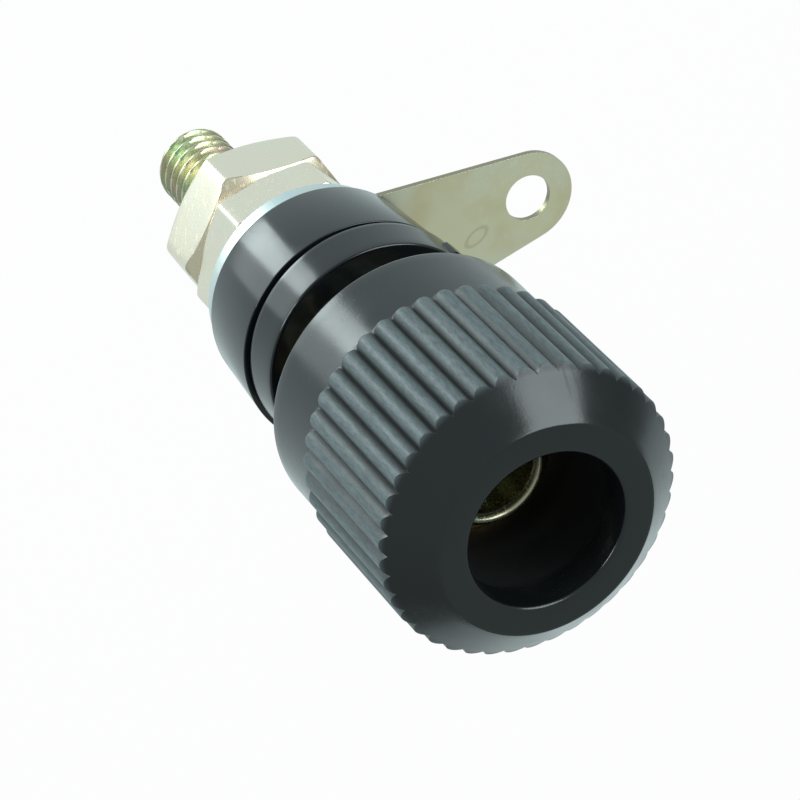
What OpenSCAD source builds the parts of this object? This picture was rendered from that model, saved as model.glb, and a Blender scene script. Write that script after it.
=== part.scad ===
// Panel-mounted binding post for 4 mm plugs, bare wires and spade lugs.
// The post's axis is Z.  Z = 0 is the panel's front face, where the front
// insulator seats, and +Z points out of the panel towards the knob's mouth.
// Sizes are millimetres.

/* [Knob] */
// outer diameter over the grip ribs
knob_d = 14.5; // [12:0.1:18]
// how far the ribs stand proud of the plain collar behind them
rib_stand = 0.32; // [0.1:0.02:0.45]
// whole length of the knob
knob_len = 13.8; // [11:0.1:20]
// length of the plain collar, from the rear edge to the ribs' round ends
knob_collar_len = 3.8; // [2:0.1:6]
// number of grip ribs
rib_count = 42; // [24:1:60]
// radius of each rib's round back
rib_back_r = 0.5; // [0.3:0.01:0.8]
// outer diameter of the flat ring round the mouth
nose_d = 10.4; // [9:0.1:12]
// length of the sloping nose
nose_len = 1.9; // [0.8:0.1:3]
// diameter of the mouth
mouth_d = 7.6; // [6.5:0.1:9]
// chamfer inside the mouth's rim
mouth_chamfer = 0.2; // [0.05:0.05:0.5]
// chamfer on the knob's rear edge
knob_rear_chamfer = 0.3; // [0.1:0.05:0.8]
// depth of the counterbore in the knob's rear face
knob_rear_recess = 1.2; // [0.5:0.1:2.5]
// gap between the knob and the front insulator as it is turned now
knob_gap = 3.2; // [1.5:0.1:5]

/* [Knob insert] */
// length of the brass insert
insert_len = 5.6; // [3:0.1:8]
// outer diameter of the brass insert
insert_d = 9.4; // [8:0.1:11]
// width of the retaining groove round the insert
insert_groove_w = 1.4; // [0.6:0.1:2.5]
// depth of the retaining groove
insert_groove_depth = 0.4; // [0.2:0.05:0.8]

/* [Socket stud] */
// outer diameter of the threaded barrel that the knob runs on
barrel_d = 6.0; // [5.4:0.1:7]
// bore that takes a 4 mm plug
socket_bore_d = 4.1; // [4:0.02:4.4]
// chamfer round the socket's entry
socket_chamfer = 0.2; // [0.05:0.05:0.5]
// how far the barrel's front end lies inside the knob's mouth
barrel_recess = 5.2; // [3:0.1:7]
// diameter of the seat flange
flange_d = 7.2; // [6.4:0.1:9]
// thickness of the seat flange
flange_len = 1.0; // [0.5:0.1:2]
// cross hole for a bare wire
wire_hole_d = 1.9; // [1:0.1:2.4]
// distance from the seat flange to the wire hole's centre
wire_hole_offset = 1.15; // [1:0.05:3]
// solid bottom left under the socket's bore, above the seat flange
socket_floor = 0.1; // [0.05:0.05:1]
// size across the flats of the hexagon that stops the stud turning
neck_flats = 5.2; // [4.6:0.1:6]
// length of that hexagon
neck_len = 1.2; // [0.6:0.1:1.8]
// outside diameter of the rear thread, over its crests
stud_d = 4.0; // [3:0.02:5]
// pitch diameter, at which the thread and the nuts on it are drawn where they mesh
stud_pitch_d = 3.54; // [2.6:0.02:4.6]
// length of the rear thread behind the panel's front face
stud_len = 20.2; // [15:0.1:40]
// chamfer at the stud's end
stud_chamfer = 0.4; // [0.1:0.05:0.8]

/* [Insulators] */
// thickness of the front insulator's disc
front_disc_len = 2.1; // [1.6:0.1:4]
// diameter of the front disc at its outer face
front_disc_d = 11.36; // [10:0.02:13]
// diameter of the front disc where it meets the panel
front_disc_root_d = 11.6; // [10:0.02:13]
// diameter of the boss that passes through the panel
boss_d = 6.4; // [5.8:0.1:8]
// length of that boss
boss_len = 2.75; // [1:0.05:4]
// how far the front insulator sits off the axis, within its clearance
front_shift = 0.15; // [0:0.01:0.18]
// width of the moulded key on the front disc's rim
key_w = 1.3; // [0.6:0.1:2]
// height of that key above the rim
key_h = 0.32; // [0.1:0.02:0.6]
// direction of that key round the axis
key_angle = -82; // [-180:1:180]
// gap left between the two insulators
parting_gap = 0.25; // [0.05:0.05:2]
// length of the rear insulator
rear_len = 4.6; // [3:0.1:8]
// diameter of the rear insulator where it meets the panel
rear_front_d = 11.7; // [10:0.02:13]
// diameter of the rear insulator at its far end
rear_end_d = 11.1; // [10:0.02:13]
// chamfer on the insulators' edges
disc_edge = 0.12; // [0.05:0.01:0.3]

/* [Solder lug] */
// sheet thickness of the solder lug
lug_t = 0.4; // [0.3:0.1:1.5]
// radius of the eye that goes over the stud
lug_eye_r = 4.2; // [3.2:0.1:5.4]
// radius of the lug's free end
lug_end_r = 2.4; // [1.6:0.1:4]
// distance from the stud to the wire hole in the lug
lug_reach = 11.6; // [8:0.1:20]
// diameter of the wire hole in the lug
lug_hole_d = 2.4; // [1.2:0.1:3.6]
// direction of the lug round the axis
lug_angle = -114.5; // [-180:0.5:180]

/* [Washer and nuts] */
// outer diameter of the flat washer
washer_d = 10.0; // [8:0.1:12]
// thickness of the flat washer
washer_t = 0.8; // [0.4:0.1:2]
// size across the flats of both nuts
nut_flats = 8.4; // [7.4:0.1:9]
// thickness of each nut
nut_len = 3.25; // [2:0.05:4]
// gap left between the two nuts
nut_gap = 0.05; // [0:0.05:3]
// how far each nut's end chamfers reach along the axis at the corners
nut_chamfer = 0.4; // [0.1:0.02:0.8]
// direction of one corner of the inner nut
inner_nut_angle = 8; // [-30:0.5:30]
// direction of one corner of the outer nut
outer_nut_angle = -4; // [-30:0.5:30]

/* [Fits] */
// radial clearance of the knob's thread and of its insert
thread_clear = 0.05; // [0.02:0.01:0.1]
// radial clearance of the insulators on the stud and on each other
insulator_clear = 0.2; // [0.15:0.01:0.4]
// radial clearance of the lug and the washer on the rear thread
washer_clear = 0.12; // [0.05:0.01:0.3]
// radial clearance of the nuts on the rear thread
nut_clear = 0.03; // [0.02:0.01:0.08]
// radial room round the seat flange in the knob's counterbore
flange_room = 0.5; // [0.2:0.1:1]
// length of bare crests cleared away behind the outer nut
thread_relief = 0.1; // [0.06:0.02:0.4]
// end clearance round the insert in its pocket
insert_end_clear = 0.05; // [0.02:0.01:0.2]

/* [Hidden] */
$fn = 96;
cut = 1;
knob_rear_z = front_disc_len + knob_gap;
knob_front_z = knob_rear_z + knob_len;
collar_r = knob_d / 2 - rib_stand;
rib_centre_r = knob_d / 2 - rib_back_r;
rib_rear_z = knob_rear_z + knob_collar_len;
insert_rear_z = knob_rear_z + knob_rear_recess;
insert_front_z = insert_rear_z + insert_len;
insert_mid_z = insert_rear_z + insert_len / 2;
barrel_front_z = knob_front_z - barrel_recess;
flange_front_z = front_disc_len + flange_len;
socket_floor_z = flange_front_z + socket_floor;
wire_hole_z = flange_front_z + wire_hole_offset;
shaft_hole_r = stud_d / 2 + insulator_clear;
washer_hole_r = stud_d / 2 + washer_clear;
nut_hole_r = stud_pitch_d / 2 + nut_clear;
rear_front_z = -parting_gap;
rear_end_z = rear_front_z - rear_len;
lug_z = rear_end_z - lug_t;
washer_z = lug_z - washer_t;
inner_nut_z = washer_z - nut_len;
outer_nut_z = inner_nut_z - nut_gap - nut_len;
nut_corner_r = nut_flats / sqrt(3);
nut_face_r = nut_corner_r - nut_chamfer * sqrt(3);
lug_side_inset = 0.02;
lug_taper = asin((lug_eye_r - lug_end_r) / lug_reach);
lug_eye_side = lug_eye_r - lug_side_inset;
lug_end_side = lug_end_r - lug_side_inset;

// The grip's ribs: straight round-backed bars whose rear ends are domed.
module grip_ribs() {
    for (i = [0 : rib_count - 1])
        rotate([0, 0, i * 360 / rib_count])
            translate([rib_centre_r, 0, 0])
                rotate_extrude($fn = 24)
                    intersection() {
                        union() {
                            translate([0, rib_rear_z + rib_back_r])
                                square([rib_back_r, knob_front_z - rib_rear_z]);
                            translate([0, rib_rear_z + rib_back_r])
                                circle(r = rib_back_r, $fn = 24);
                        }
                        square([rib_back_r, knob_front_z]);
                    }
}

// Everything that lies inside the knob's sloping nose.
module nose_envelope() {
    rotate_extrude()
        polygon([[0, knob_rear_z - cut],
                 [knob_d, knob_rear_z - cut],
                 [knob_d, knob_front_z - nose_len - (knob_d / 2) * nose_len / (knob_d / 2 - nose_d / 2)],
                 [nose_d / 2, knob_front_z],
                 [0, knob_front_z]]);
}

module knob() {
    color("#2b3336")
    difference() {
        intersection() {
            union() {
                rotate_extrude()
                    polygon([[0, knob_rear_z],
                             [collar_r - knob_rear_chamfer, knob_rear_z],
                             [collar_r, knob_rear_z + knob_rear_chamfer],
                             [collar_r, knob_front_z],
                             [0, knob_front_z]]);
                grip_ribs();
            }
            nose_envelope();
        }
        // mouth, down to the insert's pocket
        translate([0, 0, insert_front_z + insert_end_clear])
            cylinder(r = mouth_d / 2, h = knob_front_z - insert_front_z + cut);
        translate([0, 0, knob_front_z - mouth_chamfer])
            cylinder(r1 = mouth_d / 2, r2 = mouth_d / 2 + 2 * mouth_chamfer, h = 2 * mouth_chamfer);
        // pocket for the insert, with a rib that sits in the insert's groove
        difference() {
            translate([0, 0, insert_rear_z - insert_end_clear])
                cylinder(r = insert_d / 2 + thread_clear, h = insert_len + 2 * insert_end_clear);
            rotate_extrude()
                translate([insert_d / 2 - insert_groove_depth + thread_clear,
                           insert_mid_z - insert_groove_w / 2 + insert_end_clear])
                    square([insert_groove_depth + cut, insert_groove_w - 2 * insert_end_clear]);
        }
        // counterbore that clears the seat flange when the knob is screwed down
        translate([0, 0, knob_rear_z - cut])
            cylinder(r = flange_d / 2 + flange_room, h = knob_rear_recess + cut);
    }
}

module knob_insert() {
    color("#b39a5a")
    difference() {
        translate([0, 0, insert_rear_z])
            cylinder(r = insert_d / 2, h = insert_len);
        translate([0, 0, insert_rear_z - cut])
            cylinder(r = barrel_d / 2 + thread_clear, h = insert_len + 2 * cut);
        rotate_extrude()
            translate([insert_d / 2 - insert_groove_depth, insert_mid_z - insert_groove_w / 2])
                square([insert_groove_depth + cut, insert_groove_w]);
    }
}

module socket_stud() {
    color("#c9c8bb")
    difference() {
        union() {
            rotate_extrude()
                polygon([[0, -stud_len],
                         [stud_d / 2 - stud_chamfer, -stud_len],
                         [stud_d / 2, -stud_len + stud_chamfer],
                         [stud_d / 2, outer_nut_z - thread_relief],
                         [stud_pitch_d / 2, outer_nut_z - thread_relief],
                         [stud_pitch_d / 2, washer_z],
                         [stud_d / 2, washer_z],
                         [stud_d / 2, front_disc_len],
                         [flange_d / 2, front_disc_len],
                         [flange_d / 2, flange_front_z],
                         [barrel_d / 2, flange_front_z],
                         [barrel_d / 2, barrel_front_z],
                         [0, barrel_front_z]]);
            translate([0, 0, front_disc_len - neck_len])
                cylinder(d = neck_flats / cos(30), h = neck_len + flange_len / 2, $fn = 6);
        }
        translate([0, 0, socket_floor_z])
            cylinder(d = socket_bore_d, h = barrel_front_z - socket_floor_z + cut);
        translate([0, 0, barrel_front_z - socket_chamfer])
            cylinder(r1 = socket_bore_d / 2, r2 = socket_bore_d / 2 + 2 * socket_chamfer,
                     h = 2 * socket_chamfer);
        translate([0, 0, wire_hole_z])
            rotate([0, 90, 0])
                cylinder(d = wire_hole_d, h = barrel_d + 2 * cut, center = true);
    }
}

module front_insulator() {
    color("#33393b")
    translate([0, -front_shift, 0])
        difference() {
            union() {
                rotate_extrude()
                    polygon([[0, 0],
                             [front_disc_root_d / 2, 0],
                             [front_disc_d / 2, front_disc_len - disc_edge],
                             [front_disc_d / 2 - disc_edge, front_disc_len],
                             [0, front_disc_len]]);
                translate([0, 0, -boss_len])
                    cylinder(d = boss_d, h = boss_len + front_disc_len / 2);
                rotate([0, 0, key_angle])
                    translate([0, -key_w / 2, 0])
                        cube([front_disc_d / 2 + key_h, key_w, front_disc_len - disc_edge]);
            }
            translate([0, 0, -boss_len - cut])
                cylinder(r = shaft_hole_r, h = boss_len + front_disc_len + 2 * cut);
            translate([0, 0, front_disc_len - neck_len])
                cylinder(d = (neck_flats + 2 * insulator_clear) / cos(30), h = neck_len + cut, $fn = 6);
        }
}

module rear_insulator() {
    color("#33393b")
    difference() {
        rotate_extrude()
            polygon([[0, rear_end_z],
                     [rear_end_d / 2 - disc_edge, rear_end_z],
                     [rear_end_d / 2, rear_end_z + disc_edge],
                     [rear_front_d / 2, rear_front_z],
                     [0, rear_front_z]]);
        translate([0, 0, -boss_len])
            cylinder(r = boss_d / 2 + insulator_clear, h = boss_len + cut);
        translate([0, 0, rear_end_z - cut])
            cylinder(r = shaft_hole_r, h = rear_len + 2 * cut);
    }
}

module solder_lug() {
    color("#b5b190")
    rotate([0, 0, lug_angle])
        translate([0, 0, lug_z])
            difference() {
                union() {
                    cylinder(r = lug_eye_r, h = lug_t);
                    translate([lug_reach, 0, 0])
                        cylinder(r = lug_end_r, h = lug_t);
                    // the straight sides, a hair inside the tangents to both rounds
                    linear_extrude(lug_t)
                        polygon([[lug_eye_side * sin(lug_taper), lug_eye_side * cos(lug_taper)],
                                 [lug_reach + lug_end_side * sin(lug_taper), lug_end_side * cos(lug_taper)],
                                 [lug_reach + lug_end_side * sin(lug_taper), -lug_end_side * cos(lug_taper)],
                                 [lug_eye_side * sin(lug_taper), -lug_eye_side * cos(lug_taper)]]);
                }
                translate([0, 0, -cut])
                    cylinder(r = washer_hole_r, h = lug_t + 2 * cut);
                translate([lug_reach, 0, -cut])
                    cylinder(d = lug_hole_d, h = lug_t + 2 * cut);
            }
}

module flat_washer() {
    color("#dfe3e0")
    translate([0, 0, washer_z])
        difference() {
            cylinder(d = washer_d, h = washer_t);
            translate([0, 0, -cut])
                cylinder(r = washer_hole_r, h = washer_t + 2 * cut);
        }
}

// A hexagon nut, chamfered at 30 degrees on both faces.
module hex_nut(corner_angle) {
    difference() {
        intersection() {
            rotate([0, 0, corner_angle])
                cylinder(r = nut_corner_r, h = nut_len, $fn = 6);
            rotate_extrude()
                polygon([[0, 0],
                         [nut_face_r, 0],
                         [nut_corner_r + cut * sqrt(3), nut_chamfer + cut],
                         [nut_corner_r + cut * sqrt(3), nut_len - nut_chamfer - cut],
                         [nut_face_r, nut_len],
                         [0, nut_len]]);
        }
        translate([0, 0, -cut])
            cylinder(r = nut_hole_r, h = nut_len + 2 * cut);
    }
}

module inner_nut() {
    color("#c8c9bd")
    translate([0, 0, inner_nut_z])
        hex_nut(inner_nut_angle);
}

module outer_nut() {
    color("#c8c9bd")
    translate([0, 0, outer_nut_z])
        hex_nut(outer_nut_angle);
}

knob();
knob_insert();
socket_stud();
front_insulator();
rear_insulator();
solder_lug();
flat_washer();
inner_nut();
outer_nut();
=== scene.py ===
import math

import bmesh
import bpy
import numpy as np
from mathutils import Matrix, Vector


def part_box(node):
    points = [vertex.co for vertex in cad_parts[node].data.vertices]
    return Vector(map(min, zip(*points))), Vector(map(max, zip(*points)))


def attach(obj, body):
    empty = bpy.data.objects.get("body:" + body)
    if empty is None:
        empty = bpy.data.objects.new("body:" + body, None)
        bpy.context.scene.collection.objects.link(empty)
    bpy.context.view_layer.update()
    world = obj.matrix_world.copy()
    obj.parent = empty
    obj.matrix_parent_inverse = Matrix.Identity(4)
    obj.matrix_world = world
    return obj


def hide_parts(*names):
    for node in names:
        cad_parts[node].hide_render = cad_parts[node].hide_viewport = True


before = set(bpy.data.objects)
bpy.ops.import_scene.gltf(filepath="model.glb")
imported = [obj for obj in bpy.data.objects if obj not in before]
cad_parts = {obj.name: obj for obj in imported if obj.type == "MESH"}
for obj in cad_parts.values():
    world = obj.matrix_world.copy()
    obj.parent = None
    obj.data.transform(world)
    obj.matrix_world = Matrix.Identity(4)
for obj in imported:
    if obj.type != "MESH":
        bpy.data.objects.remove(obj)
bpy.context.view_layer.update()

# ---------------------------------------------------------------------------
# Camera, table and lamps.  The post is seen from above its mouth with a long
# lens, over a white table top.  Two strip lamps low on one side draw the
# highlight along the rings, and two soft ones light its side and its top.
VIEW_FROM = Vector((0.115153, 0.0, 0.148401))
VIEW_AT = Vector((0.000004, 0.000710, 0.005506))
VIEW_ROLL = math.radians(136.279)
TABLE_Z = -0.16
TABLE_HALF = 8
TABLE_WHITE = (0.9, 0.9, 0.9, 1)
TABLE_ROUGH = 0.9
TABLE_GLOW = 0.96
WHITE = (1, 1, 1, 1)
COOL_LIGHT = (0.82, 0.97, 0.98, 1)
SKY_LOW, SKY_HIGH = 0.2, 0.5
SKY_CLIMB = 0.5
STRIP_TINT = (0.88, 1, 1)
SOFT_TINT = (0.88, 0.98, 1)
RINGS = (0, 0, -0.002)
MIDDLE = (0, 0, 0)


def aim(place, target, roll=0.0):
    """Matrix of a lamp or camera at place that looks at target, turned by roll about its view line."""
    turn = (target - place).to_track_quat("-Z", "Y").to_matrix().to_4x4()
    return Matrix.Translation(place) @ turn @ Matrix.Rotation(roll, 4, "Z")


def add_object(name, data):
    """A new object of that name in the scene."""
    made = bpy.data.objects.new(name, data)
    bpy.context.scene.collection.objects.link(made)
    return made


camera_data = bpy.data.cameras.new("camera")
camera_data.lens = 180
camera_data.sensor_width = 36
camera_data.clip_start = 0.01
camera_data.clip_end = 20
camera = add_object("camera", camera_data)
camera.matrix_world = aim(VIEW_FROM, VIEW_AT, VIEW_ROLL)
bpy.context.scene.camera = camera
bpy.context.scene.view_settings.view_transform = "Standard"


def area_lamp(name, place, target, width, height, watts, colour):
    """A rectangular lamp at place that faces target and that the camera doesn't see."""
    data = bpy.data.lights.new(name, "AREA")
    data.shape = "RECTANGLE"
    data.size, data.size_y = width, height
    data.energy = watts
    data.color = colour
    lamp = add_object(name, data)
    lamp.matrix_world = aim(Vector(place), Vector(target))
    lamp.visible_camera = False


def adder(tree):
    """A function that adds a node of a kind to tree: it sets the node's properties by name, and
    then its sockets by name or number."""
    def add(kind, sockets=None, **settings):
        """One new node of that kind."""
        node = tree.nodes.new("ShaderNode" + kind)
        for key, value in settings.items():
            setattr(node, key, value)
        for key, value in (sockets or {}).items():
            node.inputs[key].default_value = value
        return node
    return add


def shader_nodes(name):
    """A new material, with the function that adds its nodes, its links and its shader."""
    made = bpy.data.materials.new(name)
    made.use_nodes = True
    tree = made.node_tree
    return made, adder(tree), tree.links, tree.nodes["Principled BSDF"]


# Each lamp has its name, place, target, width, height, watts and colour.
for lamp in (("strip_lamp", (0.0665, 0.0055, -0.074), RINGS, 0.028, 0.075, 0.032, STRIP_TINT),
             ("strip_spill", (0.0665, 0.027, -0.074), RINGS, 0.05, 0.075, 0.016, STRIP_TINT),
             ("side_lamp", (0.21, 0.12, 0.03), MIDDLE, 0.1, 0.1, 0.28, SOFT_TINT),
             ("top_lamp", (0.05, -0.16, 0.16), MIDDLE, 0.14, 0.14, 0.30, SOFT_TINT)):
    area_lamp(*lamp)

# The sky is plain white to the camera.  The light it sheds is cooler, and weaker near the horizon.
world = bpy.data.worlds.new("studio")
bpy.context.scene.world = world
world.use_nodes = True
add, links = adder(world.node_tree), world.node_tree.links
background = world.node_tree.nodes["Background"]
rays = add("LightPath")
towards = add("TexCoord")
height = add("SeparateXYZ")
climb = add("MapRange", {"From Min": 0.0, "From Max": SKY_CLIMB, "To Min": SKY_LOW, "To Max": SKY_HIGH})
level = add("MapRange", {"To Max": 1.0})
sky = add("Mix", {6: COOL_LIGHT, 7: WHITE}, data_type="RGBA")
links.new(towards.outputs["Generated"], height.inputs[0])
links.new(height.outputs["Z"], climb.inputs["Value"])
links.new(climb.outputs["Result"], level.inputs["To Min"])
links.new(rays.outputs["Is Camera Ray"], level.inputs["Value"])
links.new(rays.outputs["Is Camera Ray"], sky.inputs[0])
links.new(level.outputs["Result"], background.inputs["Strength"])
links.new(sky.outputs[2], background.inputs["Color"])

# The table glows to the camera and in what mirrors or passes light, and keeps a trace of shadow.
table_mesh = bpy.data.meshes.new("table_top")
table_corners = [(x * TABLE_HALF, y * TABLE_HALF, TABLE_Z) for x, y in ((-1, -1), (1, -1), (1, 1), (-1, 1))]
table_mesh.from_pydata(table_corners, [], [(0, 1, 2, 3)])
table = add_object("table_top", table_mesh)
table_paint, add, links, shader = shader_nodes("white_table")
shader.inputs["Base Color"].default_value = TABLE_WHITE
shader.inputs["Roughness"].default_value = TABLE_ROUGH
glow = add("Emission")
seen = add("LightPath")
either = add("Math", operation="ADD", use_clamp=True)
through = add("Math", operation="ADD", use_clamp=True)
share = add("Math", {1: TABLE_GLOW}, operation="MULTIPLY")
hue = add("Mix", {6: COOL_LIGHT, 7: WHITE}, data_type="RGBA")
blend = add("MixShader")
links.new(seen.outputs["Is Camera Ray"], either.inputs[0])
links.new(seen.outputs["Is Glossy Ray"], either.inputs[1])
links.new(either.outputs[0], through.inputs[0])
links.new(seen.outputs["Is Transmission Ray"], through.inputs[1])
links.new(through.outputs[0], share.inputs[0])
links.new(share.outputs[0], blend.inputs[0])
links.new(shader.outputs[0], blend.inputs[1])
links.new(seen.outputs["Is Camera Ray"], hue.inputs[0])
links.new(hue.outputs[2], glow.inputs["Color"])
links.new(glow.outputs[0], blend.inputs[2])
links.new(blend.outputs[0], table_paint.node_tree.nodes["Material Output"].inputs["Surface"])
table_mesh.materials.append(table_paint)

# ---------------------------------------------------------------------------
# Knob.  Black thermoplastic, injection moulded over its brass insert: a plain
# glossy collar, 42 straight grip ribs with domed rear ends, a coned nose and a
# flat ring round the mouth.  It screws along the barrel on its insert.
MM = 0.001
knob_low, knob_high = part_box("knob")
KNOB_REAR = knob_low.z / MM
KNOB_FRONT = knob_high.z / MM
CREST_R = knob_high.x / MM
RIBS = 42
RIB_R = 0.5
RIB_STAND = 0.32
COLLAR_R = CREST_R - RIB_STAND
COLLAR_LEN = 3.8
NOSE_R = 5.2
NOSE_LEN = 1.9
MOUTH_R = 3.8
RECESS_R = 4.1
POCKET_R = 4.75
POCKET_RIB_R = 4.35
POCKET_RIB_HALF = 0.65
VALLEY_EASE = 0.22
REAR_EDGE = 0.3
RECESS_CHAMFER = 0.1
NOSE_LIP = 0.05
MOUTH_EDGE = 0.2
END_ROOM = 0.05
INSERT_DEPTH = 1.2
INSERT_LEN = 5.6
INSERT_REAR = KNOB_REAR + INSERT_DEPTH
INSERT_FRONT = INSERT_REAR + INSERT_LEN


def outward(mesh):
    """Merges points that coincide, as at a pole, and turns the closed mesh's faces outwards."""
    work = bmesh.new()
    work.from_mesh(mesh)
    bmesh.ops.remove_doubles(work, verts=work.verts, dist=1e-7)
    bmesh.ops.recalc_face_normals(work, faces=work.faces)
    work.to_mesh(mesh)
    work.free()
    return mesh


def grid_mesh(name, points, closed_rows=True):
    """Quads over an array of points[row][column] whose columns run round the axis and close.
    With closed_rows the last row joins the first, so the surface is a ring-shaped shell."""
    rows, columns = points.shape[:2]
    index = np.arange(rows * columns).reshape(rows, columns)
    across = np.roll(index, -1, 1)
    if closed_rows:
        a, b, c, d = index, across, np.roll(across, -1, 0), np.roll(index, -1, 0)
    else:
        a, b, c, d = index[:-1], across[:-1], across[1:], index[1:]
    faces = np.stack([a, b, c, d], -1).reshape(-1, 4)
    mesh = bpy.data.meshes.new(name)
    mesh.from_pydata((points.reshape(-1, 3) * MM).tolist(), [], faces.tolist())
    return outward(mesh)


def turned(radius, height, angle):
    """Points at radius, angle and height in cylinder coordinates, as x, y, z."""
    return np.stack([radius * np.cos(angle), radius * np.sin(angle), height], -1)


def rounded(corners, fillets, steps=4):
    """A closed (radius, height) outline whose corner i is replaced by an arc-like curve
    that starts and ends fillets[i] away from it: a quadratic curve through three points."""
    corners = np.array(corners, float)
    before, after = np.roll(corners, 1, 0), np.roll(corners, -1, 0)
    out = []
    t = np.linspace(0, 1, steps + 1)[:, None]
    for p, a, b, f in zip(corners, before, after, fillets):
        if f == 0:
            out.append(p[None])
            continue
        start = p + (a - p) / np.linalg.norm(a - p) * f
        end = p + (b - p) / np.linalg.norm(b - p) * f
        out.append((1 - t) ** 2 * start + 2 * t * (1 - t) * p + t**2 * end)
    return np.concatenate(out)


def around(columns):
    """The angles of the columns, once round."""
    return np.arange(columns) / columns * 2 * math.pi


def lathe(outline, columns):
    """A closed outline of (radius, height) pairs turned once round the axis."""
    angle = around(columns)
    radius, height = outline[:, 0, None], outline[:, 1, None]
    return turned(radius + 0 * angle, height + 0 * angle, angle + 0 * radius)


def smooth(piece, degrees=32):
    """Smooth shading, except over edges sharper than degrees."""
    mesh = piece.data
    mesh.shade_smooth()
    mesh.set_sharp_from_angle(angle=math.radians(degrees))
    return piece


def rib_radius(angle, height):
    """Radius of the ribbed grip: each rib is a bar of radius RIB_R whose centre line lies RIB_R
    inside the crests, with a ball at its rear end; between ribs it is the collar's radius, and the
    two run together over VALLEY_EASE."""
    step = 2 * math.pi / RIBS
    off = (angle + step / 2) % step - step / 2
    centre_r = CREST_R - RIB_R
    ball = np.clip((KNOB_REAR + COLLAR_LEN + RIB_R - height) / RIB_R, 0, 1)
    bar = RIB_R * np.sqrt(np.clip(1 - ball**2, 0, None))
    side = centre_r * np.sin(off)
    rise = np.sqrt(np.clip(bar**2 - side**2, 0, None))
    rib = centre_r * np.cos(off) + rise
    rib = np.where(np.abs(side) < bar, rib, 0)
    near = np.clip(1 - np.abs(rib - COLLAR_R) / VALLEY_EASE, 0, 1)
    return np.maximum(COLLAR_R, rib) + VALLEY_EASE / 4 * near**2


def knob_surface(per_rib=18):
    """Rows go from the counterbore round the rear edge, along the collar and ribs to the cone,
    over the front ring and down the mouth.  The last ribbed row ends where each column meets
    the cone, so the scalloped edge is exact."""
    angle = around(RIBS * per_rib)
    one = np.ones_like(angle)
    slope = (CREST_R - NOSE_R) / NOSE_LEN
    rows = []

    def ring(radius, height):
        """Adds a round row."""
        rows.append(turned(radius * one, height * one, angle))

    pocket_rear = INSERT_REAR - END_ROOM
    for radius, height in ((POCKET_R, pocket_rear), (RECESS_R, pocket_rear),
                           (RECESS_R, KNOB_REAR + RECESS_CHAMFER), (RECESS_R + RECESS_CHAMFER, KNOB_REAR)):
        ring(radius, height)
    for t in np.linspace(0, 1, 7):
        a = t * math.pi / 2
        ring(COLLAR_R - REAR_EDGE + REAR_EDGE * math.sin(a), KNOB_REAR + REAR_EDGE - REAR_EDGE * math.cos(a))
    for height in np.linspace(KNOB_REAR + REAR_EDGE, KNOB_REAR + COLLAR_LEN - 0.02, 8)[1:]:
        ring(COLLAR_R, height)
    start = KNOB_REAR + COLLAR_LEN
    for t in np.linspace(0, 1, 14):
        height = start + RIB_R * (1 - math.cos(t * math.pi / 2))
        rows.append(turned(rib_radius(angle, height), height * one, angle))
    full = rib_radius(angle, KNOB_FRONT)
    stop = KNOB_FRONT - (full - NOSE_R) / slope
    begin = start + RIB_R
    for t in list(np.linspace(0, 1, 12)[1:-1]) + [0.985]:
        height = begin + t * (stop - begin)
        rows.append(turned(full, height, angle))
    rows.append(turned(full, stop, angle))
    rows.append(turned(full - NOSE_LIP * 1.2, stop + NOSE_LIP * 1.2 / slope, angle))
    for t in np.linspace(0.06, 0.965, 8):
        radius = full + t * (NOSE_R - full)
        rows.append(turned(radius, KNOB_FRONT - (radius - NOSE_R) / slope, angle))
    ring(NOSE_R + 0.02, KNOB_FRONT - 0.025)
    ring(NOSE_R - 0.06, KNOB_FRONT - 0.004)
    ring(NOSE_R - 0.16, KNOB_FRONT)
    ring((NOSE_R + MOUTH_R) / 2, KNOB_FRONT)
    for t in np.linspace(0, 1, 6):
        a = t * math.pi / 2
        ring(MOUTH_R + MOUTH_EDGE - MOUTH_EDGE * math.sin(a), KNOB_FRONT - MOUTH_EDGE + MOUTH_EDGE * math.cos(a))
    pocket_front = INSERT_FRONT + END_ROOM
    for height in np.linspace(KNOB_FRONT - MOUTH_EDGE, pocket_front, 8)[1:]:
        ring(MOUTH_R, height)
    middle = (INSERT_REAR + INSERT_FRONT) / 2
    for radius, height in ((POCKET_R, pocket_front), (POCKET_R, middle + POCKET_RIB_HALF),
                           (POCKET_RIB_R, middle + POCKET_RIB_HALF), (POCKET_RIB_R, middle - POCKET_RIB_HALF),
                           (POCKET_R, middle - POCKET_RIB_HALF)):
        ring(radius, height)
    return np.stack(rows)


def effect_group(name, inputs, outputs):
    """A node group with named inputs, each with a default number or colour, and outputs named with
    their socket type.  Gives the group, its node adder, and the ends its insides link to."""
    tree = bpy.data.node_groups.new(name, "ShaderNodeTree")
    for title, value in inputs.items():
        kind = "NodeSocketColor" if isinstance(value, tuple) else "NodeSocketFloat"
        tree.interface.new_socket(title, in_out="INPUT", socket_type=kind).default_value = value
    for title, kind in outputs.items():
        tree.interface.new_socket(title, in_out="OUTPUT", socket_type=kind)
    given, wanted = tree.nodes.new("NodeGroupInput"), tree.nodes.new("NodeGroupOutput")
    return tree, adder(tree), given.outputs, wanted.inputs


def place_group(add, tree, **values):
    """Places a group in a material with its own values, an underscore standing for a space."""
    node = add("Group", node_tree=tree)
    for key, value in values.items():
        node.inputs[key.replace("_", " ")].default_value = value
    return node


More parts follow.
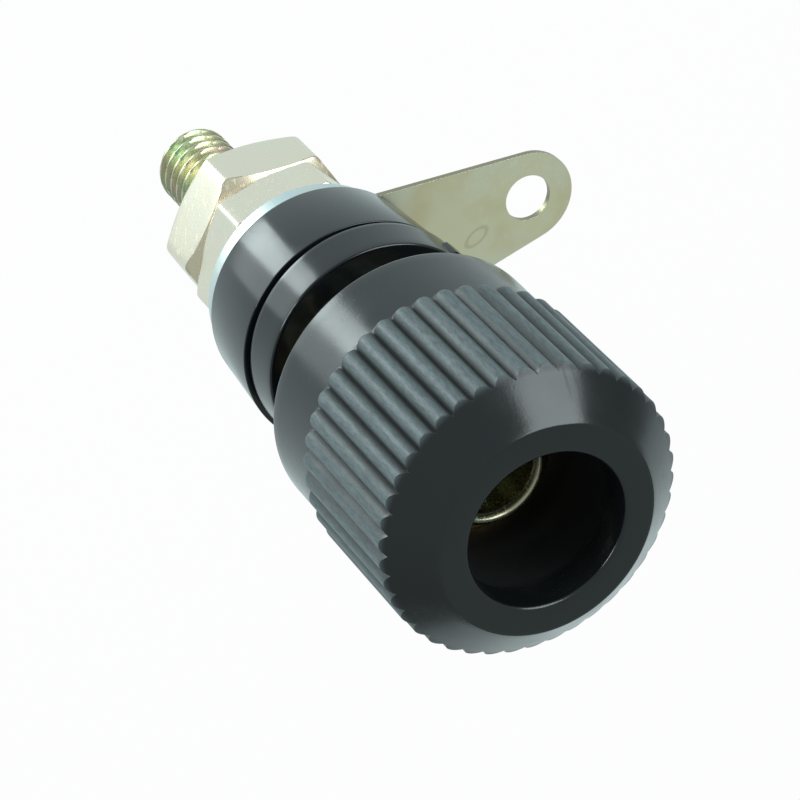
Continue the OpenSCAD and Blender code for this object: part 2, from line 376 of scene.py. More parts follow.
# Moulding grain: a fine uneven skin, and a wide soft unevenness from cooling.
grain_group, add, given, wanted = effect_group(
    "moulding_grain", {"Fine": 9000.0, "Wide": 500.0, "Fine share": 0.4},
    {"Height": "NodeSocketFloat", "Mottle": "NodeSocketFloat"})
links = grain_group.links
place = add("TexCoord")
fine = add("TexNoise", {"Detail": 3.0, "Roughness": 0.6})
wide = add("TexNoise", {"Detail": 2.0, "Roughness": 0.5})
join = add("Mix", data_type="FLOAT")
links.new(place.outputs["Object"], fine.inputs["Vector"])
links.new(place.outputs["Object"], wide.inputs["Vector"])
links.new(given["Fine"], fine.inputs["Scale"])
links.new(given["Wide"], wide.inputs["Scale"])
links.new(given["Fine share"], join.inputs["Factor"])
links.new(wide.outputs["Fac"], join.inputs["A"])
links.new(fine.outputs["Fac"], join.inputs["B"])
links.new(join.outputs["Result"], wanted["Height"])
links.new(wide.outputs["Fac"], wanted["Mottle"])

# Dust: small pale specks of uneven size, scattered thinly.
dust_group, add, given, wanted = effect_group(
    "dust_specks", {"Scale": 1100.0, "Size": 0.09, "Amount": 0.5}, {"Mask": "NodeSocketFloat"})
links = dust_group.links
place = add("TexCoord")
cells = add("TexVoronoi")
limit = add("Math", operation="LESS_THAN")
pick = add("Math", operation="LESS_THAN")
tone = add("SeparateColor")
both = add("Math", operation="MULTIPLY")
links.new(place.outputs["Object"], cells.inputs["Vector"])
links.new(given["Scale"], cells.inputs["Scale"])
links.new(cells.outputs["Distance"], limit.inputs[0])
links.new(given["Size"], limit.inputs[1])
links.new(cells.outputs["Color"], tone.inputs[0])
links.new(tone.outputs[0], pick.inputs[0])
links.new(given["Amount"], pick.inputs[1])
links.new(limit.outputs[0], both.inputs[0])
links.new(pick.outputs[0], both.inputs[1])
links.new(both.outputs[0], wanted["Mask"])

# Hairlines: long thin rubbed marks, drawn out along one direction.
hairline_group, add, given, wanted = effect_group(
    "hairlines", {"Across": 5200.0, "Along": 240.0, "Turn": 0.6, "Rarity": 0.66}, {"Mask": "NodeSocketFloat"})
links = hairline_group.links
place = add("TexCoord")
spin = add("VectorRotate", rotation_type="EULER_XYZ")
turns = add("CombineXYZ")
stretch = add("CombineXYZ")
drawn = add("VectorMath", operation="MULTIPLY")
lines = add("TexNoise", {"Scale": 1.0, "Detail": 2.0})
cut = add("MapRange", {"To Max": 1.0})
top = add("Math", {1: 0.05}, operation="ADD")
for key in ("X", "Y", "Z"):
    links.new(given["Turn"], turns.inputs[key])
links.new(given["Across"], stretch.inputs["X"])
links.new(given["Across"], stretch.inputs["Y"])
links.new(given["Along"], stretch.inputs["Z"])
links.new(place.outputs["Object"], spin.inputs["Vector"])
links.new(turns.outputs[0], spin.inputs["Rotation"])
links.new(spin.outputs[0], drawn.inputs[0])
links.new(stretch.outputs[0], drawn.inputs[1])
links.new(drawn.outputs[0], lines.inputs["Vector"])
links.new(lines.outputs["Fac"], cut.inputs["Value"])
links.new(given["Rarity"], cut.inputs["From Min"])
links.new(given["Rarity"], top.inputs[0])
links.new(top.outputs[0], cut.inputs["From Max"])
links.new(cut.outputs["Result"], wanted["Mask"])

# The plastic's black, and the pale grey of the painted highlight on the rib backs.
PLASTIC = (0.0068, 0.0080, 0.0092, 1)
PLASTIC_CREST_HIGHLIGHT = (0.120, 0.155, 0.163, 1)
DUST = (0.30, 0.31, 0.30, 1)
PLASTIC_IOR = 1.52
# Radii and heights, in metres, of the rib backs that get the painted highlight.
RIB_CREST_HIGHLIGHT = (0.00701, 0.00726, 0.0091, 0.0171)
RIB_MATT = 0.30
BAND_EDGE = 0.0004
STREAKS = (9000.0, 9000.0, 1800.0)


def crest_highlight_masks(add, links, inner, outer, low, high):
    """Two masks of the ribs, in metres: the band of heights from low to high, and in it the backs from the radius
    inner to outer, broken up by streaks along the axis.  The backs are where the ribs get their painted highlight."""
    place = add("TexCoord")
    split = add("SeparateXYZ")
    flat = add("VectorMath", {1: (1, 1, 0)}, operation="MULTIPLY")
    out = add("VectorMath", operation="LENGTH")
    back = add("MapRange", {"From Min": inner, "From Max": outer})
    rise = add("MapRange", {"From Min": low, "From Max": low + BAND_EDGE})
    stop = add("MapRange", {"From Min": high, "From Max": high + BAND_EDGE, "To Min": 1.0, "To Max": 0.0})
    band = add("Math", operation="MULTIPLY")
    backs = add("Math", operation="MULTIPLY")
    drawn = add("VectorMath", {1: STREAKS}, operation="MULTIPLY")
    streaks = add("TexNoise", {"Scale": 1.0, "Detail": 4.0, "Roughness": 0.7})
    edge_break_and_streaks = add("MapRange", {"From Min": 0.35, "From Max": 0.65, "To Min": 0.45, "To Max": 1.0})
    broken = add("Math", operation="MULTIPLY")
    links.new(place.outputs["Object"], split.inputs[0])
    links.new(place.outputs["Object"], flat.inputs[0])
    links.new(place.outputs["Object"], drawn.inputs[0])
    links.new(flat.outputs[0], out.inputs[0])
    links.new(out.outputs["Value"], back.inputs["Value"])
    links.new(split.outputs["Z"], rise.inputs["Value"])
    links.new(split.outputs["Z"], stop.inputs["Value"])
    links.new(rise.outputs["Result"], band.inputs[0])
    links.new(stop.outputs["Result"], band.inputs[1])
    links.new(band.outputs[0], backs.inputs[0])
    links.new(back.outputs["Result"], backs.inputs[1])
    links.new(drawn.outputs[0], streaks.inputs["Vector"])
    links.new(streaks.outputs["Fac"], edge_break_and_streaks.inputs["Value"])
    links.new(backs.outputs[0], broken.inputs[0])
    links.new(edge_break_and_streaks.outputs["Result"], broken.inputs[1])
    return band, broken


def black_plastic(name, gloss, rubbed_and_crest_highlight, grain, dusty):
    """Black moulded plastic.  Its roughness is gloss spread by the wide mottle, and more in the hairlines and over
    the band of ribs; its colour goes to a pale painted highlight on their backs, and to dust in specks.  The argument
    after gloss holds what the rib masks take, or None."""
    made, add, links, shader = shader_nodes(name)
    shader.inputs["IOR"].default_value = PLASTIC_IOR
    skin = place_group(add, grain_group, Fine_share=0.35)
    dust = place_group(add, dust_group, Amount=dusty)
    marks = place_group(add, hairline_group)
    bump = add("Bump", {"Strength": grain, "Distance": 0.00002})
    rough = add("MapRange", {"From Min": 0.3, "From Max": 0.7, "To Min": gloss * 0.8, "To Max": gloss * 1.25})
    scratched = add("Math", {1: 0.08}, operation="MULTIPLY_ADD")
    colour = add("Mix", {0: 0.0, 6: PLASTIC, 7: PLASTIC_CREST_HIGHLIGHT}, data_type="RGBA")
    dusted = add("Mix", {7: DUST}, data_type="RGBA")
    links.new(skin.outputs["Height"], bump.inputs["Height"])
    links.new(bump.outputs[0], shader.inputs["Normal"])
    links.new(skin.outputs["Mottle"], rough.inputs["Value"])
    links.new(marks.outputs["Mask"], scratched.inputs[0])
    links.new(rough.outputs["Result"], scratched.inputs[2])
    last_rough = scratched
    # Over the rib backs the colour goes to a painted highlight, and the band is matt.
    if rubbed_and_crest_highlight:
        band, broken = crest_highlight_masks(add, links, *rubbed_and_crest_highlight)
        last_rough = add("Math", {1: RIB_MATT}, operation="MULTIPLY_ADD")
        links.new(band.outputs[0], last_rough.inputs[0])
        links.new(scratched.outputs[0], last_rough.inputs[2])
        links.new(broken.outputs[0], colour.inputs[0])
    links.new(colour.outputs[2], dusted.inputs[6])
    links.new(dust.outputs["Mask"], dusted.inputs[0])
    links.new(dusted.outputs[2], shader.inputs["Base Color"])
    links.new(last_rough.outputs[0], shader.inputs["Roughness"])
    return made


knob = smooth(add_object("ribbed_knob", grid_mesh("ribbed_knob", knob_surface())), 40)
# The knob's rib backs get the painted highlight.
knob.data.materials.append(black_plastic("knob_black", gloss=0.19, rubbed_and_crest_highlight=RIB_CREST_HIGHLIGHT, grain=0.5, dusty=0.012))
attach(knob, "knob_shell")
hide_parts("knob")

# ---------------------------------------------------------------------------
# Knob insert.  A turned brass sleeve with a rolled groove, which the knob is
# moulded over so that it can't turn or pull out.  Its bore has the knob's thread.
THREAD_STEPS = 12
BARREL_CREST_R = 3.0
BARREL_PITCH = 0.75
THREAD_CLEAR = 0.04
INSERT_R = 4.7
GROOVE_R = 4.3
GROOVE_W = 1.4
INSERT_CHAMFER = 0.15
INSERT_SINK = 0.1


def thread_radius(angle, height, crest_r, pitch):
    """Right-hand thread.  The place in the turn is height over pitch less the angle in turns; the
    radius is the crest's for an eighth of the pitch, the root's for a quarter, and eased between."""
    turn = height / pitch - angle / (2 * math.pi)
    off = np.abs((turn + 0.5) % 1 - 0.5)
    fall = np.clip((off - 1 / 16) / (3 / 8 - 1 / 16), 0, 1)
    return crest_r - 0.613 * pitch * fall * fall * (3 - 2 * fall)


def stack_rings(angle, rings):
    """Points of rings given as (radius, height), each a number or an array over the columns."""
    one = np.ones_like(angle)
    return np.stack([turned(radius * one, height * one, angle) for radius, height in rings])


def threaded(angle, low, high, crest_r, pitch, clear=0.0, limit=None):
    """Rings of a thread from low to high, THREAD_STEPS to the pitch.  limit(radius, height) cuts
    them where there is a chamfer."""
    count = int(round(abs(high - low) / pitch * THREAD_STEPS))
    rings = []
    for height in np.linspace(low, high, count):
        radius = thread_radius(angle, height, crest_r, pitch) + clear
        rings.append((limit(radius, height) if limit else radius, height))
    return rings


turn_angles = around(96)
middle = (INSERT_REAR + INSERT_FRONT) / 2
bore = threaded(turn_angles, INSERT_FRONT, INSERT_REAR, BARREL_CREST_R, BARREL_PITCH, THREAD_CLEAR,
                lambda r, z: np.maximum(r, BARREL_CREST_R + THREAD_CLEAR + INSERT_SINK
                                        - np.minimum(z - INSERT_REAR, INSERT_FRONT - z)))
sleeve = [(INSERT_R - INSERT_CHAMFER, INSERT_REAR), (INSERT_R, INSERT_REAR + INSERT_CHAMFER),
          (INSERT_R, middle - GROOVE_W / 2), (GROOVE_R, middle - GROOVE_W / 2),
          (GROOVE_R, middle + GROOVE_W / 2), (INSERT_R, middle + GROOVE_W / 2),
          (INSERT_R, INSERT_FRONT - INSERT_CHAMFER), (INSERT_R - INSERT_CHAMFER, INSERT_FRONT)]
insert = smooth(add_object("knob_sleeve", grid_mesh("knob_sleeve", stack_rings(turn_angles, sleeve + bore))))

# Plating and bare metal: three tints that run into each other, with a rubbed roughness.
tint_group, add, given, wanted = effect_group(
    "plating_tint",
    {"Scale": 260.0, "Base": (0.6, 0.6, 0.6, 1.0), "Warm": (0.6, 0.5, 0.4, 1.0),
     "Cool": (0.5, 0.6, 0.6, 1.0), "Rough": 0.25, "Spread": 0.12},
    {"Color": "NodeSocketColor", "Roughness": "NodeSocketFloat"})
links = tint_group.links
place = add("TexCoord")
cloud = add("TexNoise", {"Detail": 3.0, "Roughness": 0.55})
tone = add("SeparateColor")
warm = add("MapRange", {"From Min": 0.46, "From Max": 0.62})
cool = add("MapRange", {"From Min": 0.46, "From Max": 0.62})
first = add("Mix", data_type="RGBA")
second = add("Mix", data_type="RGBA")
spot = add("TexNoise", {"Detail": 4.0, "Roughness": 0.7})
finer = add("Math", {1: 9.0}, operation="MULTIPLY")
centred = add("Math", {1: 0.5}, operation="SUBTRACT")
uneven = add("Math", operation="MULTIPLY_ADD")
links.new(place.outputs["Object"], cloud.inputs["Vector"])
links.new(place.outputs["Object"], spot.inputs["Vector"])
links.new(given["Scale"], cloud.inputs["Scale"])
links.new(given["Scale"], finer.inputs[0])
links.new(finer.outputs[0], spot.inputs["Scale"])
links.new(cloud.outputs["Color"], tone.inputs[0])
links.new(tone.outputs[0], warm.inputs["Value"])
links.new(tone.outputs[2], cool.inputs["Value"])
links.new(warm.outputs["Result"], first.inputs[0])
links.new(cool.outputs["Result"], second.inputs[0])
links.new(given["Base"], first.inputs[6])
links.new(given["Warm"], first.inputs[7])
links.new(first.outputs[2], second.inputs[6])
links.new(given["Cool"], second.inputs[7])
links.new(second.outputs[2], wanted["Color"])
links.new(spot.outputs["Fac"], centred.inputs[0])
links.new(centred.outputs[0], uneven.inputs[0])
links.new(given["Spread"], uneven.inputs[1])
links.new(given["Rough"], uneven.inputs[2])
links.new(uneven.outputs[0], wanted["Roughness"])


def metal(name, base, warm, cool, rough, spread=0.12, tint_scale=260.0, bump_strength=0.25):
    """A plated or bare metal: the tints' colour, their roughness plus hairlines, and a faint bump
    of grain and hairlines."""
    made, add, links, shader = shader_nodes(name)
    shader.inputs["Metallic"].default_value = 1.0
    tint = place_group(add, tint_group, Scale=tint_scale, Base=base, Warm=warm, Cool=cool,
                       Rough=rough, Spread=spread)
    marks = place_group(add, hairline_group, Rarity=0.6)
    skin = place_group(add, grain_group, Fine=14000.0, Fine_share=0.5)
    rubbed_and_crest_highlight = add("Math", {1: 0.12}, operation="MULTIPLY_ADD")
    lift = add("Math", {1: 0.3}, operation="MULTIPLY_ADD")
    bump = add("Bump", {"Strength": bump_strength, "Distance": 0.00001})
    links.new(marks.outputs["Mask"], rubbed_and_crest_highlight.inputs[0])
    links.new(tint.outputs["Roughness"], rubbed_and_crest_highlight.inputs[2])
    links.new(marks.outputs["Mask"], lift.inputs[0])
    links.new(skin.outputs["Height"], lift.inputs[2])
    links.new(lift.outputs[0], bump.inputs["Height"])
    links.new(tint.outputs["Color"], shader.inputs["Base Color"])
    links.new(rubbed_and_crest_highlight.outputs[0], shader.inputs["Roughness"])
    links.new(bump.outputs[0], shader.inputs["Normal"])
    return made


def paint_light_and_shade_by_facing(made, tone, start, full):
    """Gives the faces of a material another colour by how far they face along the post's axis, a painted light where
    the tone is lighter and a painted shade where it is darker: none where the normal's z is start, all of it where z
    is full."""
    add, links = adder(made.node_tree), made.node_tree.links
    shader = made.node_tree.nodes["Principled BSDF"]
    place = add("TexCoord")
    split = add("SeparateXYZ")
    turn = add("MapRange", {"From Min": start, "From Max": full})
    other = add("Mix", {7: tone}, data_type="RGBA")
    links.new(place.outputs["Normal"], split.inputs[0])
    links.new(split.outputs["Z"], turn.inputs["Value"])
    links.new(shader.inputs["Base Color"].links[0].from_socket, other.inputs[6])
    links.new(turn.outputs["Result"], other.inputs[0])
    links.new(other.outputs[2], shader.inputs["Base Color"])


insert.data.materials.append(metal(
    "turned_brass", base=(0.56, 0.40, 0.16, 1), warm=(0.50, 0.32, 0.12, 1), cool=(0.55, 0.45, 0.22, 1), rough=0.3))
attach(insert, "knob_shell")
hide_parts("knob_insert")

# ---------------------------------------------------------------------------
# Socket stud.  One turned and plated brass bar: the socket's barrel with the
# knob's thread outside and a wire hole across it, the seat flange, a hexagon
# that stops it turning in the front insulator, and the threaded tail.
stud_low, stud_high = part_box("socket_stud")
STUD_END = stud_low.z / MM
BARREL_FRONT = stud_high.z / MM
BORE_R = 2.05
BORE_FLOOR = 3.2
LIP_R = 2.4
PANEL_FACE = 2.1
FLANGE_R = 3.6
FLANGE_FRONT = 3.1
NECK_FLATS = 5.2
NECK_REAR = 0.9
TAIL_R = 2.0
TAIL_PITCH = 0.7
TAIL_THREAD_FRONT = -5.0
TAIL_CHAMFER = 0.4
WIRE_HOLE_Z = 4.25
WIRE_HOLE_R = 0.95
TAIL_END_R = 1.2
SHANK_R = TAIL_R - 0.02
FLANGE_EDGE = 0.08
RELIEF_R = 2.6
RELIEF_LEN = 0.15
DRILL_HALF = 4.2


def hexagon(angle, flats, corner_angle, roundness=70):
    """Radius of a hexagon with rounded corners: the distance to the flats over the high-power mean of
    the cosines towards its six sides, which rounds the corners the more the lower the power."""
    sides = math.radians(corner_angle + 30) + np.arange(6)[:, None] * math.pi / 3
    towards = np.clip(np.cos(angle[None] - sides), 0, None)
    return flats / 2 / (towards**roundness).sum(0) ** (1 / roundness)


stud_angles = around(120)
neck = hexagon(stud_angles, NECK_FLATS, 0)
tail = threaded(stud_angles, STUD_END, TAIL_THREAD_FRONT, TAIL_R, TAIL_PITCH, 0.0,
                lambda r, z: np.minimum(r, TAIL_R - TAIL_CHAMFER + (z - STUD_END)))
barrel = threaded(stud_angles, FLANGE_FRONT + 0.25, BARREL_FRONT, BARREL_CREST_R, BARREL_PITCH, 0.0,
                  lambda r, z: np.minimum(r, LIP_R + (BARREL_FRONT - z)))
stud_rings = [(0, STUD_END), (TAIL_END_R, STUD_END)] + tail
stud_rings += [(SHANK_R, TAIL_THREAD_FRONT + 0.1), (SHANK_R, NECK_REAR), (neck, NECK_REAR), (neck, PANEL_FACE)]
stud_rings += [(FLANGE_R - FLANGE_EDGE, PANEL_FACE), (FLANGE_R, PANEL_FACE + FLANGE_EDGE),
               (FLANGE_R, FLANGE_FRONT - FLANGE_EDGE), (FLANGE_R - FLANGE_EDGE, FLANGE_FRONT)]
stud_rings += [(RELIEF_R, FLANGE_FRONT), (RELIEF_R, FLANGE_FRONT + RELIEF_LEN)] + barrel
stud_rings += [(LIP_R - 0.03, BARREL_FRONT), (BORE_R + 0.24, BARREL_FRONT), (BORE_R + 0.2, BARREL_FRONT - 0.02),
               (BORE_R + 0.02, BARREL_FRONT - 0.24), (BORE_R, BARREL_FRONT - 0.32)]
stud_rings += [(BORE_R, height) for height in np.linspace(BARREL_FRONT - 0.6, BORE_FLOOR, 14)]
stud_rings += [(1.0, BORE_FLOOR), (0, BORE_FLOOR)]
stud_points = stack_rings(stud_angles, stud_rings)
stud = add_object("socket_and_stud", grid_mesh("socket_and_stud", stud_points, closed_rows=False))

drill_angles = around(40)
drill_rings = [(0, -DRILL_HALF), (WIRE_HOLE_R, -DRILL_HALF), (WIRE_HOLE_R, DRILL_HALF), (0, DRILL_HALF)]
drill_mesh = grid_mesh("wire_drill", stack_rings(drill_angles, drill_rings), closed_rows=False)
drill_mesh.transform(Matrix.Translation((0, 0, WIRE_HOLE_Z * MM)) @ Matrix.Rotation(math.pi / 2, 4, "Y"))
drill = add_object("wire_drill", drill_mesh)
drilling = stud.modifiers.new("wire_hole", "BOOLEAN")
drilling.operation = "DIFFERENCE"
drilling.solver = "EXACT"
drilling.object = drill
drilled = bpy.data.meshes.new_from_object(stud.evaluated_get(bpy.context.evaluated_depsgraph_get()))
stud.modifiers.clear()
stud.data = drilled
bpy.data.objects.remove(drill)
smooth(stud)
stud.data.materials.clear()
stud.data.materials.append(metal(
    "stud_passivate", base=(0.52, 0.49, 0.31, 1), warm=(0.55, 0.42, 0.33, 1), cool=(0.42, 0.50, 0.32, 1),
    rough=0.27, spread=0.05, tint_scale=500.0, bump_strength=0.15))
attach(stud, "post")
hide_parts("socket_stud")

# ---------------------------------------------------------------------------
# Front insulator.  A glossy black moulding: a disc under the flange with a
# boss that passes through the panel, and a small key on its rim that stops it
# turning.  It sits a little off the axis, within its clearance.
SHIFT_Y = -0.15
FRONT_R = 5.68
ROOT_R = 5.8
EDGE = 0.12
BOSS_R = 3.2
BOSS_END = -2.75
BOSS_CHAMFER = 0.2
SHAFT_HOLE_R = 2.2
KEY_R = 5.94
KEY_HALF = 0.65
KEY_LOW = 0.9
KEY_SIDE = 0.25
KEY_STEP = 0.12
SEAT_R = 4.4
RIM_HEIGHTS = (1.7, 1.4, 1.1, 1.02, 0.98, 0.94, 0.9, 0.6, 0.3, 0.1)
KEY_ANGLE = math.radians(-82)


def ease(x):
    """Rises from 0 to 1 with level ends."""
    x = np.clip(x, 0, 1)
    return x * x * (3 - 2 * x)


def keyed(angle, radius, height):
    """The rim's radius, raised to KEY_R where the way round from the key's middle is under
    KEY_HALF and the height is over KEY_LOW, with short eased sides."""
    way = np.abs((angle - KEY_ANGLE + math.pi) % (2 * math.pi) - math.pi) * radius
    return radius + (KEY_R - radius) * ease((KEY_HALF - way) / KEY_SIDE) * ease((height - KEY_LOW) / KEY_STEP)


disc_angles = around(384)
hex_hole = hexagon(disc_angles, NECK_FLATS + 0.4, 0)
disc_rings = [(SHAFT_HOLE_R, BOSS_END), (SHAFT_HOLE_R, NECK_REAR), (hex_hole, NECK_REAR), (hex_hole, PANEL_FACE),
              (SEAT_R, PANEL_FACE), (FRONT_R - EDGE * 2, PANEL_FACE)]
for t in np.linspace(0, math.pi / 2, 5):
    height = PANEL_FACE - EDGE + EDGE * math.cos(t)
    disc_rings.append((keyed(disc_angles, FRONT_R - EDGE + EDGE * math.sin(t), height), height))
for height in RIM_HEIGHTS:
    radius = ROOT_R + (FRONT_R - ROOT_R) * height / PANEL_FACE
    disc_rings.append((keyed(disc_angles, radius, height), height))
disc_rings += [(ROOT_R - 0.03, 0.03), (ROOT_R - 0.1, 0.0), (BOSS_R, 0.0), (BOSS_R, BOSS_END + BOSS_CHAMFER),
               (BOSS_R - BOSS_CHAMFER, BOSS_END)]
disc_points = stack_rings(disc_angles, disc_rings)
disc_points[..., 1] += SHIFT_Y
front_disc = smooth(add_object("front_bush", grid_mesh("front_bush", disc_points)))
bush_plastic = black_plastic("bush_black", gloss=0.15, rubbed_and_crest_highlight=None, grain=0.18, dusty=0.008)
front_disc.data.materials.append(bush_plastic)
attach(front_disc, "post")
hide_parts("front_insulator")

# ---------------------------------------------------------------------------
# Rear insulator.  A second black moulding with a little draft, which takes the
# front one's boss and closes on the back of the panel.
rear_low, rear_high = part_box("rear_insulator")
rear_front, rear_end = rear_high.z / MM, rear_low.z / MM
REAR_FRONT_R = 5.85
REAR_END_R = 5.55
BOSS_HOLE_R = 3.4
rear_outline = rounded(
    [(SHAFT_HOLE_R, rear_end), (REAR_END_R, rear_end), (REAR_FRONT_R, rear_front), (BOSS_HOLE_R, rear_front),
     (BOSS_HOLE_R, BOSS_END), (SHAFT_HOLE_R, BOSS_END)],
    [0.1, 0.16, 0.07, 0.1, 0, 0])
rear_bush = smooth(add_object("rear_bush", grid_mesh("rear_bush", lathe(rear_outline, 288))))
rear_bush.data.materials.append(bush_plastic)
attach(rear_bush, "post")
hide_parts("rear_insulator")

# ---------------------------------------------------------------------------
# Solder lug.  Stamped from thin tinned brass sheet: an eye over the stud, a
# tapering arm and a round end with a hole for the wire.
lug_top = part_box("solder_lug")[1].z
LUG_EYE_R = 4.2
LUG_END_R = 2.4
LUG_REACH = 11.6
LUG_HOLE_R = 1.2
LUG_STUD_HOLE_R = 2.12
LUG_SHEET = 0.3
LUG_ANGLE = math.radians(-114.5)


def arc(centre, radius, start, end, count):
    """Points of an arc round a centre on the arm's middle line."""
    t = np.linspace(start, end, count)
    return np.stack([centre + radius * np.cos(t), radius * np.sin(t)], -1)


lean = math.asin((LUG_EYE_R - LUG_END_R) / LUG_REACH)
rim = np.concatenate([
    arc(LUG_REACH, LUG_END_R, -math.pi / 2 + lean, math.pi / 2 - lean, 48),
    arc(0, LUG_EYE_R, math.pi / 2 - lean, 3 * math.pi / 2 + lean, 96)])
wire_eye = arc(LUG_REACH, LUG_HOLE_R, 0, 2 * math.pi, 49)[:-1]
stud_eye = arc(0, LUG_STUD_HOLE_R, 0, 2 * math.pi, 65)[:-1]
turn = np.array([[math.cos(LUG_ANGLE), math.sin(LUG_ANGLE)],
                 [-math.sin(LUG_ANGLE), math.cos(LUG_ANGLE)]])
lug_curve = bpy.data.curves.new("lug_outline", "CURVE")
lug_curve.dimensions = "2D"
lug_curve.fill_mode = "BOTH"
lug_curve.extrude = LUG_SHEET * MM / 2
for outline in (rim, wire_eye, stud_eye):
    placed = outline @ turn * MM
    spline = lug_curve.splines.new("POLY")
    spline.points.add(len(placed) - 1)
    spline.points.foreach_set("co", np.pad(placed, ((0, 0), (0, 2))).ravel())
    spline.use_cyclic_u = True
flat = add_object("lug_outline", lug_curve)
lug_mesh = bpy.data.meshes.new_from_object(flat.evaluated_get(bpy.context.evaluated_depsgraph_get()))
bpy.data.objects.remove(flat)
lug_mesh.transform(Matrix.Translation((0, 0, lug_top - LUG_SHEET * MM / 2)))
lug_mesh.name = "stamped_lug"
lug = add_object("stamped_lug", outward(lug_mesh))
edge_break_and_streaks = lug.modifiers.new("stamped_edge", "BEVEL")
edge_break_and_streaks.width = 0.00004
edge_break_and_streaks.segments = 2
edge_break_and_streaks.limit_method = "ANGLE"
edge_break_and_streaks.angle_limit = math.radians(50)
smooth(lug, 40)
lug.data.materials.clear()
lug_tin = metal("lug_tin", base=(0.92, 0.85, 0.58, 1), warm=(0.86, 0.75, 0.48, 1), cool=(0.92, 0.88, 0.66, 1),
                rough=0.36)
# The lug's sides and underside get a painted shade, a dark brown in their colour.
paint_light_and_shade_by_facing(lug_tin, tone=(0.30, 0.27, 0.19, 1), start=0.8, full=0.3)
OVAL_PLACE = (-0.00434, -0.00742, 0)
OVAL_SIZE = (0.00034, 0.00064, 1.0)
OVAL_TONE = (0.42, 0.34, 0.20, 1)


def oval_line_mark(made, middle, size, tone):
    """A faint darker oval line on a flat material: the mark fades with the distance from the line on which ((x, y) -
    middle) / size has length 1."""
    add, links = adder(made.node_tree), made.node_tree.links
    shader = made.node_tree.nodes["Principled BSDF"]
    place = add("TexCoord")
    centred = add("VectorMath", {1: middle}, operation="SUBTRACT")
    scaled = add("VectorMath", {1: size}, operation="DIVIDE")
    level_off = add("VectorMath", {1: (1, 1, 0)}, operation="MULTIPLY")
    reach = add("VectorMath", operation="LENGTH")
    from_line = add("Math", {1: 1.0}, operation="SUBTRACT")
    width = add("Math", operation="ABSOLUTE")
    line = add("MapRange", {"From Min": 0.05, "From Max": 0.3, "To Min": 0.32, "To Max": 0.0})
    oval_colour = add("Mix", {7: tone}, data_type="RGBA")
    links.new(place.outputs["Object"], centred.inputs[0])
    links.new(centred.outputs[0], scaled.inputs[0])
    links.new(scaled.outputs[0], level_off.inputs[0])
    links.new(level_off.outputs[0], reach.inputs[0])
    links.new(reach.outputs["Value"], from_line.inputs[0])
    links.new(from_line.outputs[0], width.inputs[0])
    links.new(width.outputs[0], line.inputs["Value"])
    links.new(shader.inputs["Base Color"].links[0].from_socket, oval_colour.inputs[6])
    links.new(line.outputs["Result"], oval_colour.inputs[0])
    links.new(oval_colour.outputs[2], shader.inputs["Base Color"])


oval_line_mark(lug_tin, OVAL_PLACE, OVAL_SIZE, OVAL_TONE)
lug.data.materials.append(lug_tin)
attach(lug, "post")
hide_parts("solder_lug")

# ---------------------------------------------------------------------------
# Flat washer.  Stamped and bright plated, between the lug and the nuts.  It
# is a little wider than the CAD's, and WASHER_PROUD thicker on each face.
washer_low, washer_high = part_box("flat_washer")
WASHER_R = 5.15
WASHER_PROUD = 0.1
washer_rear = washer_low.z / MM - WASHER_PROUD
washer_front = washer_high.z / MM + WASHER_PROUD
washer_outline = rounded(
    [(LUG_STUD_HOLE_R, washer_rear), (WASHER_R, washer_rear),
     (WASHER_R, washer_front), (LUG_STUD_HOLE_R, washer_front)],
    [0.08, 0.2, 0.14, 0.08])
washer = smooth(add_object("plain_washer", grid_mesh("plain_washer", lathe(washer_outline, 192))))
washer.data.materials.append(metal(
    "washer_plating", base=(0.62, 0.67, 0.66, 1), warm=(0.64, 0.65, 0.60, 1), cool=(0.56, 0.65, 0.66, 1), rough=0.4))
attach(washer, "post")
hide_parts("flat_washer")

# ---------------------------------------------------------------------------
# Two hexagon nuts.  The inner one clamps the post to its panel and the outer
# one clamps the wire's own lug.  Cold formed with rounded corners, chamfered
# at both ends, tapped, and plated with dull nickel.  They are a little wider
# across the flats than the CAD's, and each stands a little further back.
NUT_FLATS = 8.5
NUT_FACE_R = 4.06
NUT_OFF_AXIS = -0.2
NUT_SLOPE = math.sqrt(3)
NUT_CLEAR = 0.03
NUT_SINK = 0.15
nut_nickel = metal("nut_nickel", base=(0.76, 0.685, 0.57, 1), warm=(0.78, 0.68, 0.545, 1), cool=(0.74, 0.69, 0.58, 1),
                   rough=0.27, spread=0.05, tint_scale=200.0, bump_strength=0.1)
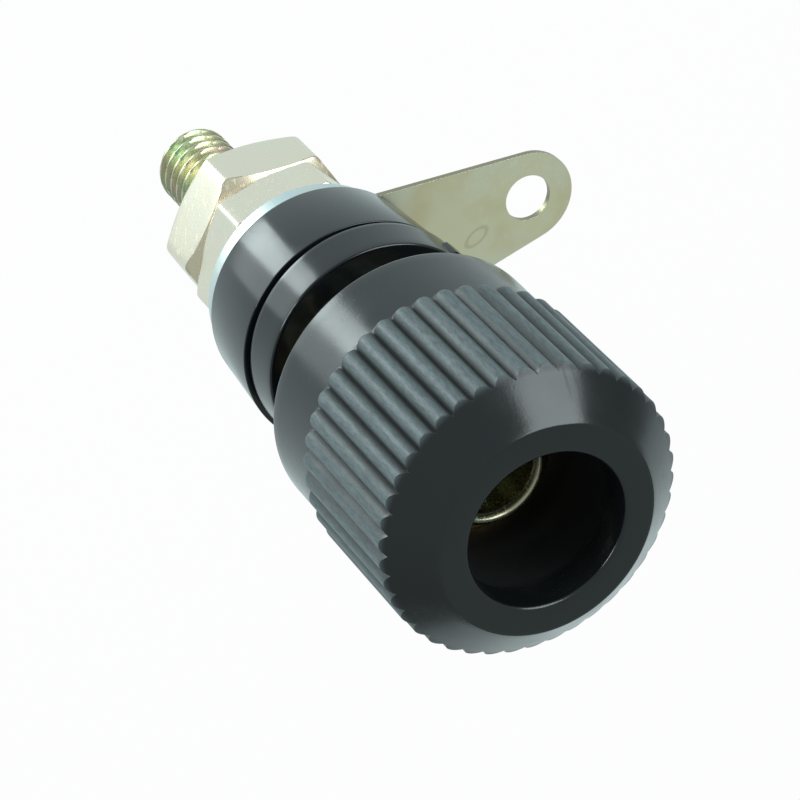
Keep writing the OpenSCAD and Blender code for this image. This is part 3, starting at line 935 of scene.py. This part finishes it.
# Its faces that look to the front, chamfers and all, get a painted warm light in their colour.
paint_light_and_shade_by_facing(nut_nickel, tone=(0.92, 0.77, 0.57, 1), start=0.4, full=0.8)


def nut_surface(low, high, corner_angle, roundness):
    """Rings of a nut: up the tapped bore with its countersinks, out over the front face, down the
    six sides, and in over the rear face.  At each end a cone of slope NUT_SLOPE cuts the corners,
    so the side starts where the cone has grown from NUT_FACE_R to the hexagon's radius.  The
    outside stands NUT_OFF_AXIS off the bore in y."""
    angle = around(192)
    side = hexagon(angle, NUT_FLATS, corner_angle, roundness)
    drop = (side - NUT_FACE_R) / NUT_SLOPE
    sink = TAIL_R + NUT_SINK
    rings = threaded(angle, low, high, TAIL_R, TAIL_PITCH, NUT_CLEAR,
                     lambda r, z: np.maximum(r, sink - np.minimum(z - low, high - z)))
    bore_rings = len(rings)
    rings += [(NUT_FACE_R - 0.1, high), (NUT_FACE_R, high - 0.01)]
    for share in (0.35, 0.7, 0.93):
        rings.append((NUT_FACE_R + share * (side - NUT_FACE_R), high - 0.01 - share * drop))
    rings.append((side - 0.01, high - drop - 0.03))
    for share in np.linspace(0.04, 0.96, 7):
        rings.append((side, high - drop - 0.04 - share * (high - low - 2 * drop - 0.08)))
    rings.append((side - 0.01, low + drop + 0.03))
    for share in (0.93, 0.7, 0.35):
        rings.append((NUT_FACE_R + share * (side - NUT_FACE_R), low + 0.01 + share * drop))
    rings += [(NUT_FACE_R, low + 0.01), (NUT_FACE_R - 0.1, low)]
    points = stack_rings(angle, rings)
    points[bore_rings:, :, 1] += NUT_OFF_AXIS
    return points


# Each nut has its node, its piece's name, its corner's angle, how sharp its corners are, and how
# far it stands back.
for node, name, corner_angle, roundness, back in (("inner_nut", "clamp_nut", 8, 60, 0.1),
                                                  ("outer_nut", "terminal_nut", -4, 42, 0.2)):
    low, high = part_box(node)
    nut_points = nut_surface(low.z / MM - back, high.z / MM - back, corner_angle, roundness)
    nut = add_object(name, grid_mesh(name, nut_points))
    smooth(nut, 24)
    nut.data.materials.append(nut_nickel)
    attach(nut, "post")
    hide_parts(node)
